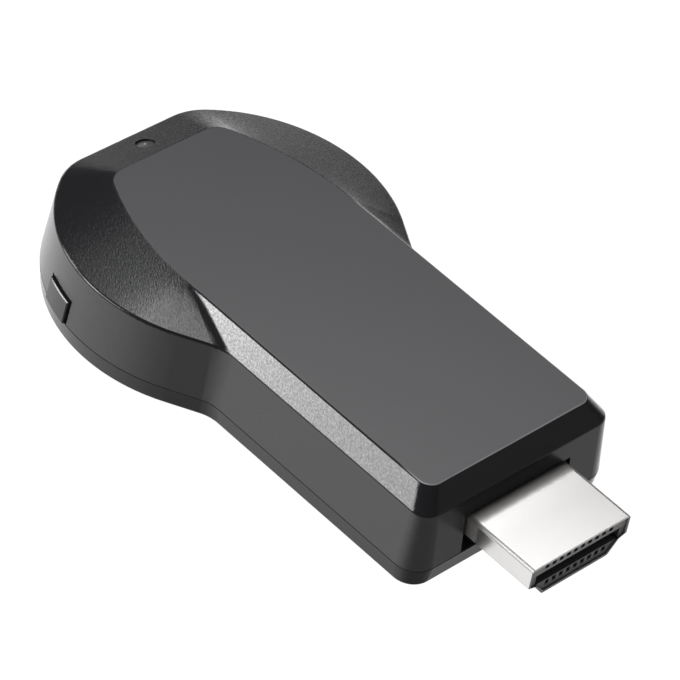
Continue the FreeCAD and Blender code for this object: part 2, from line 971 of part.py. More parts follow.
def make_socket_tongue():
    """Block that fills the back of the socket, with the tongue that carries the contacts."""
    back = socket_mouth_x() + socket_depth
    plug_length = socket_depth - socket_tongue_reach - socket_setback
    block_face = socket_profile(back - plug_length, -socket_sheet - insulator_clearance)
    rear = block_face.extrude(V(plug_length, 0, 0))
    bottom = socket_tongue_bottom()
    half = socket_tongue_width / 2
    front = socket_mouth_x() + socket_setback
    tongue = box(front, back - plug_length, -half, half, bottom, bottom + socket_tongue_thickness)
    return rear.fuse(tongue)


def make_socket_contacts():
    """Strips under the tongue whose tails reach the board behind the socket."""
    top = socket_tongue_bottom()
    bottom = top - socket_contact_thickness
    front = socket_mouth_x() + 2 * socket_setback
    back = socket_mouth_x() + socket_depth
    plug_length = socket_depth - socket_tongue_reach - socket_setback
    solids = []
    for number in range(socket_contacts):
        y = (number - (socket_contacts - 1) / 2) * socket_contact_pitch
        near, far = y - socket_contact_width / 2, y + socket_contact_width / 2
        solids.append(box(front, back - plug_length, near, far, bottom, top))
        tail = fused([
            box(back, back + socket_contact_thickness, near, far, board_top, bottom),
            box(back, back + socket_tail, near, far, board_top, board_top + socket_contact_thickness),
        ])
        solids.append(tail)
    return Part.makeCompound(solids)


def make_parts():
    radio_middle = radio_x()
    can_length = radio_length - 2 * radio_can_margin
    can_width = radio_width - 2 * radio_can_margin
    crystal_x = radio_middle + radio_length / 4
    crystal_y = radio_width / 4
    return {
        "top_shell": make_top_shell(),
        "bottom_shell": make_bottom_shell(),
        "button_cap": make_button(),
        "light_pipe": make_light_pipe(),
        "plug_shell": make_plug_shell(),
        "plug_insulator": make_insulator(),
        "plug_contacts": make_contacts(),
        "circuit_board": make_board(),
        "processor": chip(processor_x(), 0, board_top, processor_size, processor_size, processor_height),
        "memory_chip": chip(memory_x(), 0, board_top, memory_length, memory_width, memory_height),
        "flash_chip": make_flash(),
        "shield_frame": make_shield_frame(),
        "shield_cover": make_shield_cover(),
        "processor_pad": block(
            processor_x(), 0, board_top + processor_height, processor_size, processor_size,
            shield_height - processor_height,
        ),
        "spreader_pad": block(
            shield_x(), 0, shield_top, shield_length, shield_width, spreader_pad_thickness
        ),
        "heat_spreader": make_spreader(),
        "radio_board": block(
            radio_middle, 0, board_top, radio_length, radio_width, radio_board_thickness
        ),
        "radio_shield": block(
            radio_middle, 0, board_top + radio_board_thickness, can_length, can_width, radio_can_height
        ),
        "chip_antenna": make_antenna(),
        "crystal": chip(
            crystal_x, crystal_y, board_bottom - crystal_height,
            crystal_length, crystal_width, crystal_height,
        ),
        "power_inductors": make_inductors(),
        "bulk_capacitors": make_bulk_capacitors(),
        "ceramic_capacitors": make_ceramic_capacitors(),
        "status_led": block(led_x(), 0, board_top, led_length, led_width, led_height),
        "usb_socket_shell": make_socket_shell(),
        "usb_socket_tongue": make_socket_tongue(),
        "usb_socket_contacts": make_socket_contacts(),
        "switch_housing": make_switch_housing(),
        "switch_cover": make_switch_cover(),
        "switch_dome": make_dome(),
        "switch_plunger": make_plunger(),
    }


os.makedirs("parts", exist_ok=True)
for name, shape in make_parts().items():
    placed = shape.copy()
    placed.translate(V(centre_shift, 0, 0))
    placed.exportStep("parts/" + name + ".step")
    print(name, len(placed.Solids), placed.isValid(), round(placed.Volume, 2))
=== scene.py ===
import json
import math

import bmesh
import bpy
from mathutils import Matrix, Vector


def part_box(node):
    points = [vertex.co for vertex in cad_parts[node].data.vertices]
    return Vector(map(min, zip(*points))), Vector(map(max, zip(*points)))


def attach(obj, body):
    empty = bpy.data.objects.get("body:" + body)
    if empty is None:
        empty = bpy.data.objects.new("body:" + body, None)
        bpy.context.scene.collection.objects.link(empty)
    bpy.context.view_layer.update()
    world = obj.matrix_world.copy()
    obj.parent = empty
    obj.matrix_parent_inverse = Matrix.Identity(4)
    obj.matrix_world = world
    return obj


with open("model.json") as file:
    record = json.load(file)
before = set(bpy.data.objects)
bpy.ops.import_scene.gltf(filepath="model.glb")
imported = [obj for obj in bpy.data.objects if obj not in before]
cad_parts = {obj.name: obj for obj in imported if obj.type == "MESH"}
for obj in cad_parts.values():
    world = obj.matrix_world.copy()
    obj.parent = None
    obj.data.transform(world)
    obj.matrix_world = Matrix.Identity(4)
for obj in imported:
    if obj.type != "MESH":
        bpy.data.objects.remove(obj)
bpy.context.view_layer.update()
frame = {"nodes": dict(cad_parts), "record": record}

# Sizes on the object are in millimetres, and this factor turns them into Blender's metres. The
# floor's size, the lamps' places and sizes and the camera's limits are in metres.
MM = 0.001

# Camera, in the photograph's frame of 680 by 680 pixels
PHOTO_SIZE = 680
FOCAL_PIXELS = 4625
CAMERA_PLACE = Vector((220.167, -272.009, 319.882)) * MM
CAMERA_AZIMUTH = 39.041
CAMERA_ELEVATION = 41.826
CAMERA_ROLL = 11.879
CAMERA_NEAR = 0.01
CAMERA_FAR = 20
SENSOR = 36

# Heights of the housing's flat, of its wall's top edge and of the button cap, whose flange stands
# above it inside the wall
top_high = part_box("top_shell")[1]
FLAT_HEIGHT = top_high.z / MM
SHOULDER_HEIGHT = 9.25
CAP_FLANGE = 0.8
CAP_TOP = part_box("button_cap")[1].z / MM - CAP_FLANGE

# A Mix node's sockets for its factor and its two colours, and its output for a colour
MIX_FACTOR, MIX_FIRST, MIX_SECOND = 0, 6, 7
MIX_RESULT = 2


def make_camera():
    """Camera that was fitted to the photograph, turned by its azimuth, elevation and roll."""
    azimuth, elevation, roll = map(math.radians, (CAMERA_AZIMUTH, CAMERA_ELEVATION, CAMERA_ROLL))
    level_right = Vector((math.cos(azimuth), math.sin(azimuth), 0))
    back = Vector((
        math.sin(azimuth) * math.cos(elevation),
        -math.cos(azimuth) * math.cos(elevation),
        math.sin(elevation),
    ))
    level_up = back.cross(level_right)
    right = math.cos(roll) * level_right + math.sin(roll) * level_up
    up = math.cos(roll) * level_up - math.sin(roll) * level_right
    turned = Matrix((right, up, back)).transposed().to_4x4()
    data = bpy.data.cameras.new("camera")
    data.sensor_width = SENSOR
    data.lens = FOCAL_PIXELS * SENSOR / PHOTO_SIZE
    data.clip_start = CAMERA_NEAR
    data.clip_end = CAMERA_FAR
    camera = bpy.data.objects.new("camera", data)
    camera.matrix_world = Matrix.Translation(CAMERA_PLACE) @ turned
    bpy.context.scene.collection.objects.link(camera)
    bpy.context.scene.camera = camera


class Signal:
    """A node's output that takes part in arithmetic. Each step adds one Math node."""

    def __init__(self, finish, socket):
        self.finish = finish
        self.socket = socket

    def __add__(self, other):
        return self.finish.math("ADD", self, other)

    def __sub__(self, other):
        return self.finish.math("SUBTRACT", self, other)

    def __rsub__(self, other):
        return self.finish.math("SUBTRACT", other, self)

    def __mul__(self, other):
        return self.finish.math("MULTIPLY", self, other)

    def __truediv__(self, other):
        return self.finish.math("DIVIDE", self, other)

    __radd__ = __add__
    __rmul__ = __mul__


class Finish:
    """A node tree of a material or of the world, built by one node-making method."""

    def __init__(self, tree):
        self.tree = tree
        self.tree.nodes.clear()

    def node(self, kind, settings=None, sockets=None, output=0):
        """Adds a node, with its settings first and then the values or links of its sockets."""
        made = self.tree.nodes.new("ShaderNode" + kind)
        for name, value in (settings or {}).items():
            setattr(made, name, value)
        for key, value in (sockets or {}).items():
            if isinstance(value, Signal):
                self.tree.links.new(value.socket, made.inputs[key])
            else:
                made.inputs[key].default_value = value
        return Signal(self, made.outputs[output]) if made.outputs else None

    def math(self, operation, *values):
        return self.node("Math", {"operation": operation}, dict(enumerate(values)))

    def step(self, value, low, high):
        """0 below the low value, 1 above the high one and smooth between them."""
        return self.node(
            "MapRange", {"interpolation_type": "SMOOTHSTEP"},
            {"Value": value, "From Min": low, "From Max": high, "To Min": 0, "To Max": 1},
        )

    def past(self, value, line, blend):
        """0 before a line and 1 past it, changing between the blend's two distances past the line."""
        start, end = blend
        return self.step(value, line + start, line + end)

    def blend(self, factor, first, second):
        """Mixes two colours."""
        return self.node(
            "Mix", {"data_type": "RGBA"},
            {MIX_FACTOR: factor, MIX_FIRST: first, MIX_SECOND: second}, MIX_RESULT,
        )

    def mix_shaders(self, factor, first, second):
        return self.node("MixShader", None, {0: factor, 1: first, 2: second})

    def place(self):
        """The point on the piece in millimetres."""
        metres = self.node("TexCoord", output="Object")
        return self.node("VectorMath", {"operation": "SCALE"}, {0: metres, "Scale": 1 / MM})

    def part_of(self, vector, axis):
        return self.node("SeparateXYZ", None, {"Vector": vector}, axis)

    def stretched(self, vector, factors):
        return self.node("VectorMath", {"operation": "MULTIPLY"}, {0: vector, 1: factors})

    def noise(self, vector, size, detail=2.0, roughness=0.5):
        """Soft noise about 0.5 whose lumps are about the given size in millimetres."""
        return self.node(
            "TexNoise", None,
            {"Vector": vector, "Scale": 1 / size, "Detail": detail, "Roughness": roughness},
        )

    def swing(self, noise, reach):
        """Noise about 0.5 as a swing about 0 that stays within half of its reach."""
        return (noise - 0.5) * reach

    def cells(self, vector, size, feature="F1"):
        """Distance from the middles or the edges of cells of about the given size."""
        return self.node("TexVoronoi", {"feature": feature}, {"Vector": vector, "Scale": 1 / size})

    def bump(self, height, depth=1):
        """Relief of a height that is counted in depths, with the depth in millimetres."""
        return self.node("Bump", None, {"Height": height, "Distance": depth * MM, "Strength": 1})


def new_material(name):
    material = bpy.data.materials.new(name)
    material.use_nodes = True
    return material, Finish(material.node_tree)


def close_surface(finish, sockets):
    shader = finish.node("BsdfPrincipled", None, sockets)
    finish.node("OutputMaterial", None, {"Surface": shader})


def grey(level):
    return (level, level, level, 1)


def darkened(colour, share):
    """A colour brought down to a share of its light."""
    return tuple(share * part for part in colour[:3]) + (1,)


# Stage: a floor, a world and soft lamps. The table's dark side goes by how straight a ray heads for
# its azimuth, the near fade by how far the ray falls and the far one by how far it rises.
FLOOR_SIZE = 3.0
FLOOR_DROP = 0.02
FLOOR_GREY = 0.8
FLOOR_WHITE = 1.1
FLOOR_WHITE_SHARE = 0.9
FLOOR_CLEAR_SHARE = 0.85
ROOM_FILL = 0.45
ROOM_GLOSS = 0.03
TABLE_GLOW = 1.6
TABLE_DARK = 0.33
DARK_SIDE_AZIMUTH = -8
DARK_SIDE = (-0.3, 0.78)
TABLE_NEAR = (0.7, 0.86)
TABLE_NEAR_FADE = 0.68
TABLE_FAR = (-0.4, -0.02)
TABLE_FAR_FADE = 0.65


def level_direction(azimuth):
    turn = math.radians(azimuth)
    return Vector((math.cos(turn), math.sin(turn), 0))


def light_path(finish, kind):
    """1 for rays of one kind."""
    return finish.node("LightPath", output="Is " + kind + " Ray")


def seen_plainly(finish):
    """1 for rays from the eye, also through clear plastic."""
    return finish.math("MAXIMUM", light_path(finish, "Camera"), light_path(finish, "Transmission"))


def make_floor():
    """White floor that stays white to the eye and keeps a faint shadow. Gloss sees mostly the
    world's table through it."""
    shape = bmesh.new()
    bmesh.ops.create_grid(shape, x_segments=1, y_segments=1, size=FLOOR_SIZE)
    bmesh.ops.translate(shape, verts=shape.verts, vec=(0, 0, -FLOOR_DROP * MM))
    mesh = bpy.data.meshes.new("floor")
    shape.to_mesh(mesh)
    shape.free()
    floor = bpy.data.objects.new("floor", mesh)
    bpy.context.scene.collection.objects.link(floor)
    material, finish = new_material("white_floor")
    diffuse = finish.node("BsdfDiffuse", None, {"Color": grey(FLOOR_GREY)})
    white = finish.node("Emission", None, {"Color": grey(1), "Strength": FLOOR_WHITE})
    clear = finish.node("BsdfTransparent")
    to_eye = finish.mix_shaders(seen_plainly(finish) * FLOOR_WHITE_SHARE, diffuse, white)
    to_all = finish.mix_shaders(light_path(finish, "Glossy") * FLOOR_CLEAR_SHARE, to_eye, clear)
    finish.node("OutputMaterial", None, {"Surface": to_all})
    mesh.materials.append(material)


def make_world():
    """A pale room: white to the eye, an even fill on matt surfaces, and in gloss a bright table that
    is darker on the side past the plug's tip, straight below and towards the horizon."""
    world = bpy.data.worlds.new("studio")
    bpy.context.scene.world = world
    world.use_nodes = True
    finish = Finish(world.node_tree)
    direction = finish.node("TexCoord", output="Generated")
    rise = finish.part_of(direction, "Z")
    forward = finish.node(
        "VectorMath", {"operation": "DOT_PRODUCT"},
        {0: direction, 1: level_direction(DARK_SIDE_AZIMUTH)}, "Value",
    )
    level = finish.math("SQRT", 1 - rise * rise)
    dark_side = finish.step(forward / level, *DARK_SIDE)
    near = finish.step(0 - rise, *TABLE_NEAR)
    far = finish.step(rise, *TABLE_FAR)
    fade = (1 - near * TABLE_NEAR_FADE) * (1 - far * TABLE_FAR_FADE)
    table = (TABLE_GLOW + dark_side * (TABLE_DARK - TABLE_GLOW)) * fade
    below = finish.math("LESS_THAN", rise, 0.0)
    gloss = ROOM_GLOSS + below * (table - ROOM_GLOSS)
    strength = (
        seen_plainly(finish)
        + light_path(finish, "Diffuse") * ROOM_FILL
        + light_path(finish, "Glossy") * gloss
    )
    background = finish.node("Background", None, {"Color": grey(1), "Strength": strength})
    finish.node("OutputWorld", None, {"Surface": background})


def make_softbox(name, azimuth, elevation, distance, width, height, radiance):
    """Soft panel that faces the object, seen from it at an azimuth from +X and an elevation."""
    turn, rise = math.radians(azimuth), math.radians(elevation)
    away = Vector((
        math.cos(turn) * math.cos(rise), math.sin(turn) * math.cos(rise), math.sin(rise)
    ))
    data = bpy.data.lights.new(name, "AREA")
    data.shape = "RECTANGLE"
    data.size = width
    data.size_y = height
    data.energy = radiance * math.pi * width * height
    lamp = bpy.data.objects.new(name, data)
    lamp.location = away * distance
    lamp.rotation_euler = away.to_track_quat("Z", "Y").to_euler()
    lamp.visible_camera = False
    bpy.context.scene.collection.objects.link(lamp)


# Each lamp's name, azimuth, elevation, distance, width, height and radiance
SOFTBOXES = (
    ("side_strip", -129, 23, 0.7, 0.15, 0.16, 10.0),
    ("side_strip_edge", -123, 26, 0.72, 0.38, 0.26, 5.0),
    ("overhead_panel", 178, 77, 0.8, 0.2, 0.34, 2.1),
    ("overhead_edge", 178, 77, 0.8, 0.36, 0.34, 0.3),
    ("overhead_low", 172, 66, 0.82, 0.36, 0.5, 0.38),
    ("rear_panel", 131, 62, 0.25, 0.14, 0.14, 2.55),
    ("low_rear_panel", 110, 8, 0.9, 0.8, 0.25, 0.42),
    ("rear_left_panel", 150, 9, 0.9, 0.1, 0.2, 0.4),
    ("rear_mid_panel", 127, 29, 0.9, 0.5, 0.25, 0.2),
    ("left_strip", -150, 22, 0.7, 0.16, 0.22, 8.5),
    ("front_panel", 38, 16, 0.9, 0.5, 0.35, 0.06),
)

# Housing plastic: colour, gloss, roughness and grain of its zones
HOUSING_COLOUR = (0.0145, 0.0145, 0.0162, 1)
FLAT_COLOUR = (0.057, 0.057, 0.0612, 1)
# Painted highlight on the flat's rounded rim, on the neck
FLAT_RIM_HIGHLIGHT = (0.24, 0.24, 0.248, 1)
SHADE_SHARE = 0.85
SHADE_SIZE = 2.5
HOUSING_GLOSS = 0.6
BUTTON_GLOSS = 0.38
FLAT_ROUGHNESS = 0.34
SLOPE_ROUGHNESS = 0.16
EDGE_ROUGHNESS = 0.16
WALL_ROUGHNESS = 0.27
PARTING_ROUGHNESS = 0.6
PATCH_ROUGHNESS = 0.04
PATCH_SIZE = 6.0
SLOPE_GRAIN = 0.15
SLOPE_DEPTH = 0.036
SLOPE_STRETCH = 2.6
SLOPE_TURN = 147
SLOPE_SPECKLE = 1.9
NECK_RELIEF = 0.23
FLAT_GRAIN = 0.12
FLAT_DEPTH = 0.003
WALL_GRAIN = 0.5
WALL_DEPTH = 0.0008

# Zones of the housing. Each blend is a pair of distances past the height or place where a zone
# starts or ends. The flat's rim has a painted highlight, which fades in where x plus the slant
# times y passes its side.
FLAT_BLEND = (-0.008, -0.002)
RIM_HIGHLIGHT_BLEND = (-0.07, -0.03)
RIM_HIGHLIGHT_SLANT = 2
RIM_HIGHLIGHT_SIDE = (-4, -1)
SLOPE_START_BLEND = (0.02, 0.09)
SLOPE_END_BLEND = (-0.03, -0.01)
NECK_SLOPE_DROP = 0.09
NECK_START = -12
NECK_BLEND = (-1, 1)
WALL_END_BLEND = (-0.3, -0.15)
PARTING_HEIGHT = 2.3
PARTING_BEVEL = 0.06
PARTING_BLEND = (0, 0.03)
CAP_BEVEL = 0.11
CAP_BEVEL_BLEND = (0, 0.02)


def housing_finish(name, gloss=HOUSING_GLOSS, cap_top=None):
    """Moulded black plastic: fine matte flat, spark texture on the slopes, satin walls and smooth
    rounded edges between them. On the neck the flat's rounded rim has a painted highlight, but not
    on the button's side. A button cap, whose top is given, has a polished bevel there."""
    material, finish = new_material(name)
    place = finish.place()
    x, y, z = (finish.part_of(place, axis) for axis in "XYZ")
    on_neck = finish.past(x, NECK_START, NECK_BLEND)
    on_flat = finish.past(z, FLAT_HEIGHT, FLAT_BLEND)
    past_slope = finish.past(z + on_neck * NECK_SLOPE_DROP, FLAT_HEIGHT, SLOPE_END_BLEND)
    on_slope = finish.past(z, SHOULDER_HEIGHT, SLOPE_START_BLEND) * (1 - past_slope)
    on_wall = 1 - finish.past(z, SHOULDER_HEIGHT, WALL_END_BLEND)
    on_edge = 1 - on_flat - on_slope - on_wall
    off_parting = finish.math("ABSOLUTE", z - PARTING_HEIGHT)
    on_parting = 1 - finish.past(off_parting, PARTING_BEVEL, PARTING_BLEND)
    # Painted highlight along the flat's rim on the neck, away from the button's side
    highlight_side = finish.step(x + y * RIM_HIGHLIGHT_SLANT, *RIM_HIGHLIGHT_SIDE)
    on_rim_highlight = finish.past(z, FLAT_HEIGHT, RIM_HIGHLIGHT_BLEND) * on_neck * highlight_side
    turned = finish.node(
        "VectorRotate", {"rotation_type": "Z_AXIS"},
        {"Vector": place, "Angle": math.radians(-SLOPE_TURN)},
    )
    streaks = finish.stretched(turned, (1 / SLOPE_STRETCH, 1, 1))
    spark = finish.noise(streaks, SLOPE_GRAIN, detail=2.0, roughness=0.6)
    speckle = finish.step(spark, 0.5 - 0.5 / SLOPE_SPECKLE, 0.5 + 0.5 / SLOPE_SPECKLE)
    relief = SLOPE_DEPTH * (1 - on_neck * (1 - NECK_RELIEF))
    matte = finish.noise(place, FLAT_GRAIN, detail=1.0)
    ripple = finish.noise(place, WALL_GRAIN, detail=2.0)
    height = on_slope * spark * relief + on_flat * matte * FLAT_DEPTH + on_wall * ripple * WALL_DEPTH
    patches = finish.noise(place, PATCH_SIZE, detail=3.0)
    roughness = (
        on_flat * FLAT_ROUGHNESS + on_slope * SLOPE_ROUGHNESS + on_wall * WALL_ROUGHNESS
        + on_edge * EDGE_ROUGHNESS + on_parting * PARTING_ROUGHNESS
        + finish.swing(patches, PATCH_ROUGHNESS)
    )
    coat = on_slope * speckle
    if cap_top:
        on_bevel = finish.past(z, cap_top - CAP_BEVEL, CAP_BEVEL_BLEND)
        roughness = roughness - on_bevel * (WALL_ROUGHNESS - EDGE_ROUGHNESS)
        coat = coat + on_bevel
    shade = finish.noise(place, SHADE_SIZE)
    black = finish.blend(shade, darkened(HOUSING_COLOUR, SHADE_SHARE), HOUSING_COLOUR)
    # Black below the flat, with the painted highlight on the rim
    below_flat_and_highlight = finish.blend(on_rim_highlight, black, FLAT_RIM_HIGHLIGHT)
    close_surface(finish, {
        "Base Color": finish.blend(on_flat, below_flat_and_highlight, FLAT_COLOUR),
        "Roughness": roughness, "Specular IOR Level": gloss, "Normal": finish.bump(height),
        "Coat Weight": coat, "Coat Roughness": SLOPE_ROUGHNESS,
    })
    return material


# Plug: the folds of its shell, its plating and its cut front edge
plug_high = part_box("plug_shell")[1]
PLUG_FRONT = plug_high.x / MM
PLUG_TOP = plug_high.z / MM
PLUG_HALF = plug_high.y / MM
PLUG_BASE = top_high.x / MM
PLUG_SHEET = 0.3
PLUG_BEND = 0.5
UNDER_TOP_BLEND = (-0.1, 0)
CUT_BLEND = (-0.02, -0.005)
CUT_COLOUR = (0.16, 0.157, 0.155, 1)
LINE_STRETCH = (0.08, 1, 1)
LINE_WIDTH = 0.15
LINE_DEPTH = 0.00025
LINE_ROUGHNESS = 0.03
PIT_DEPTH = 0.0002
BASE_GRAIN = 0.13
BASE_DEPTH = 0.009
BASE_ROUGHNESS = 0.34
BASE_WIDTH = 0.5
BASE_BLEND = (0, 0.8)
BASE_FRAY = 1.3
# Painted light: distances past the housing over which the paler plating fades out
PAINTED_LIGHT_BLEND = (1, 4.5)
CLOUD_SIZE = 3.0
CLOUD_ROUGHNESS = 0.05
FOLD_ROUGHNESS = 0.25
PLATING_ROUGHNESS = 0.19
# Darker plating of the rough strip next to the housing: painted shade
DULL_AND_SHADED_PLATING = (0.5, 0.49, 0.478, 1)
# Paler plating past that strip: painted light
PAINTED_LIGHT_PLATING = (0.64, 0.63, 0.622, 1)
DARK_CLOUDS = (0.55, 0.539, 0.528, 1)
LIGHT_CLOUDS = (0.61, 0.6, 0.592, 1)


def plug_finish(name):
    """Satin nickel plating with faint drawing lines along the plug and a dark cut edge in front.
    Next to the housing it has a rough, grainy strip with a frayed edge, darkened as painted shade,
    and past it the plating is paler as painted light."""
    material, finish = new_material(name)
    place = finish.place()
    x, y, z = (finish.part_of(place, axis) for axis in "XYZ")
    off_middle = finish.math("ABSOLUTE", y)
    on_side = finish.past(off_middle, PLUG_HALF, (-PLUG_BEND, -PLUG_BEND / 2))
    on_fold = on_side * finish.past(z, PLUG_TOP, (-PLUG_BEND, -PLUG_BEND / 2))
    under_top = 1 - finish.past(z, PLUG_TOP - PLUG_SHEET, UNDER_TOP_BLEND)
    on_cut = finish.past(x, PLUG_FRONT, CUT_BLEND) * under_top
    lines = finish.noise(finish.stretched(place, LINE_STRETCH), LINE_WIDTH, detail=2.0, roughness=0.6)
    pits = finish.noise(place, BASE_GRAIN, detail=3.0, roughness=0.65)
    frayed = x + finish.swing(pits, BASE_FRAY)
    near_base = 1 - finish.past(frayed, PLUG_BASE + BASE_WIDTH, BASE_BLEND)
    # Painted light: paler plating a short way past the housing
    painted_light = 1 - finish.past(x, PLUG_BASE, PAINTED_LIGHT_BLEND)
    clouds = finish.noise(place, CLOUD_SIZE, detail=3.0)
    roughness = (
        PLATING_ROUGHNESS + lines * LINE_ROUGHNESS + clouds * CLOUD_ROUGHNESS
        + on_fold * FOLD_ROUGHNESS + near_base * BASE_ROUGHNESS
    )
    plating = finish.blend(painted_light, finish.blend(clouds, DARK_CLOUDS, LIGHT_CLOUDS), PAINTED_LIGHT_PLATING)
    # Painted shade darkens the rough strip next to the housing
    colour = finish.blend(near_base, plating, DULL_AND_SHADED_PLATING)
    height = lines * LINE_DEPTH + pits * (PIT_DEPTH + near_base * BASE_DEPTH)
    close_surface(finish, {
        "Base Color": finish.blend(on_cut, colour, CUT_COLOUR),
        "Metallic": 1, "Roughness": roughness, "Normal": finish.bump(height),
    })
    return material


# Insulator: its front face, which has painted light above the slot for the tongue, and its slot
# and cells, darkened with painted shade
INSULATOR_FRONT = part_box("plug_insulator")[1].x / MM
LIT_REACH = 1.5
FACE_BLEND = (-0.06, -0.02)
LIT_BLEND = (-0.1, 0.1)
# Colour of the slot and cells is painted shade; the lit colour is painted light above the slot
CELL_SHADE_COLOUR = (0.03, 0.03, 0.03, 1)
FACE_COLOUR = (0.085, 0.085, 0.088, 1)
PAINTED_LIT_COLOUR = (0.19, 0.19, 0.195, 1)
CELL_ROUGHNESS = 0.9
FACE_ROUGHNESS = 0.48
INSULATOR_GRAIN = 0.12
INSULATOR_DEPTH = 0.003
INSULATOR_VARY = 0.1


def insulator_finish(name):
    """Black plastic whose face has painted light above the slot, and which is rough and darkened
    with painted shade in the slot and in the cells.
    """
    material, finish = new_material(name)
    place = finish.place()
    on_face = finish.past(finish.part_of(place, "X"), INSULATOR_FRONT, FACE_BLEND)
    # Painted light on the face above the slot
    painted_lit = finish.past(finish.part_of(place, "Z"), PLUG_TOP - LIT_REACH, LIT_BLEND)
    grain = finish.noise(place, INSULATOR_GRAIN, detail=3.0, roughness=0.6)
    # Off the face, the slot and cells get painted shade
    face = finish.blend(painted_lit, FACE_COLOUR, PAINTED_LIT_COLOUR)
    roughness = CELL_ROUGHNESS - on_face * (CELL_ROUGHNESS - FACE_ROUGHNESS)
    close_surface(finish, {
        "Base Color": finish.blend(on_face, CELL_SHADE_COLOUR, face),
        "Roughness": roughness + finish.swing(grain, INSULATOR_VARY),
        "Normal": finish.bump(grain, INSULATOR_DEPTH),
    })
    return material


# Window over the status light, just under the surface of the rear shoulder. Heights are from the
# edge of its upper side in the middle of the hole.
pipe_low, pipe_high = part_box("light_pipe")
PIPE_RADIUS = 1
PIPE_DOME = 0.25
WINDOW_OVER_PIPE = 0.25
WINDOW_X = pipe_low.x / MM + PIPE_RADIUS
WINDOW_HEIGHT = pipe_high.z / MM + WINDOW_OVER_PIPE
WINDOW_TILT = 0.409
WINDOW_RADIUS = 0.97
WINDOW_CROWN = 0.08
WINDOW_UNDER = -0.48
WINDOW_LID = -0.1
WINDOW_STEPS = (0.3, 0.45, 0.6, 0.75, 0.88, 0.94, 0.97, 1)
WINDOW_SIDES = 48
WINDOW_WELD = 0.001
NUB_RADIUS = 0.17
NUB_HEIGHT = 0.12
NUB_STEPS = (0.3, 0.6, 0.85, 1)
# Pale colour of the middle nub: a painted glint
PAINTED_GLINT_COLOUR = (0.32, 0.32, 0.32, 1)
PAINTED_GLINT_EDGE = (0.1, 0.2)
SMOKE_SIZE = 0.8
DARK_SMOKE = (0.05, 0.05, 0.053, 1)
LIGHT_SMOKE = (0.09, 0.09, 0.094, 1)
LIGHT_ROUGHNESS = 0.12
LIGHT_VARY = 0.1
LIGHT_COAT = 0.5


def light_finish(name):
    """Smoky plastic of the status light, with a painted glint: pale in its middle."""
    material, finish = new_material(name)
    place = finish.place()
    clouds = finish.noise(place, SMOKE_SIZE)
    off_middle = finish.node(
        "VectorMath", {"operation": "DISTANCE"},
        {0: finish.stretched(place, (1, 1, 0)), 1: (WINDOW_X, 0, 0)}, "Value",
    )
    smoky = finish.blend(clouds, DARK_SMOKE, LIGHT_SMOKE)
    # Painted glint: pale colour in the middle of the window
    close_surface(finish, {
        "Base Color": finish.blend(finish.step(off_middle, *PAINTED_GLINT_EDGE), PAINTED_GLINT_COLOUR, smoky),
        "Roughness": LIGHT_ROUGHNESS + clouds * LIGHT_VARY, "Coat Weight": LIGHT_COAT,
    })
    return material


# Plain pieces: the size and shade of their soft patches, and how far the roughness varies
PIECE_PATCH = 1.5
PIECE_SHADE = 0.8
PIECE_VARY = 0.15


def grained_finish(name, colour, roughness, metallic, grain, depth, stretch=(1, 1, 1)):
    """One colour with soft patches, and a grain of a width and a depth in millimetres."""
    material, finish = new_material(name)
    place = finish.place()
    relief = finish.noise(finish.stretched(place, stretch), grain, detail=3.0, roughness=0.6)
    patches = finish.noise(place, PIECE_PATCH, detail=2.0)
    close_surface(finish, {
        "Base Color": finish.blend(patches, darkened(colour, PIECE_SHADE), colour + (1,)),
        "Metallic": metallic, "Roughness": roughness + finish.swing(relief, PIECE_VARY),
        "Normal": finish.bump(relief, depth),
    })
    return material


# Circuit board: sizes and edges of its pattern of tracks and plated holes, and its weave
TRACK_PITCH = 2.2
TRACK_EDGE = (0.05, 0.09)
HOLE_PITCH = 1.7
HOLE_EDGE = (0.1, 0.13)
WEAVE_PITCH = 0.15
WEAVE_SHARE = 0.1
BOARD_DEPTH = 0.02
BOARD_ROUGHNESS = 0.3
MASK_COLOUR = (0.012, 0.09, 0.035, 1)
TRACK_COLOUR = (0.03, 0.2, 0.08, 1)
HOLE_COLOUR = (0.75, 0.55, 0.25, 1)


def board_finish(name):
    """Green solder mask over copper tracks, with plated holes between them."""
    material, finish = new_material(name)
    place = finish.place()
    flat_place = finish.stretched(place, (1, 1, 0))
    track = 1 - finish.step(finish.cells(flat_place, TRACK_PITCH, "DISTANCE_TO_EDGE"), *TRACK_EDGE)
    hole = 1 - finish.step(finish.cells(flat_place, HOLE_PITCH), *HOLE_EDGE)
    weave = finish.noise(place, WEAVE_PITCH) * WEAVE_SHARE
    mask = finish.blend(track, MASK_COLOUR, TRACK_COLOUR)
    close_surface(finish, {
        "Base Color": finish.blend(hole, mask, HOLE_COLOUR),
        "Metallic": hole, "Roughness": BOARD_ROUGHNESS + weave,
        "Normal": finish.bump(track + weave, BOARD_DEPTH),
    })
    return material


# Tinned sheet: size, shade and roughness of its crystals
CRYSTAL_SIZE = 0.9
CRYSTAL_SHADE = 0.86
CRYSTAL_ROUGHNESS = 0.12
SHEET_ROUGHNESS = 0.25
SHEET_GRAIN = 0.2
SHEET_DEPTH = 0.001


def spangled_finish(name, colour):
    """Tin plating with a faint crystal pattern."""
    material, finish = new_material(name)
    place = finish.place()
    crystal = finish.cells(place, CRYSTAL_SIZE)
    grain = finish.noise(place, SHEET_GRAIN)
    close_surface(finish, {
        "Base Color": finish.blend(crystal, darkened(colour, CRYSTAL_SHADE), colour + (1,)),
        "Metallic": 1, "Roughness": SHEET_ROUGHNESS + crystal * CRYSTAL_ROUGHNESS,
        "Normal": finish.bump(grain, SHEET_DEPTH),
    })
    return material


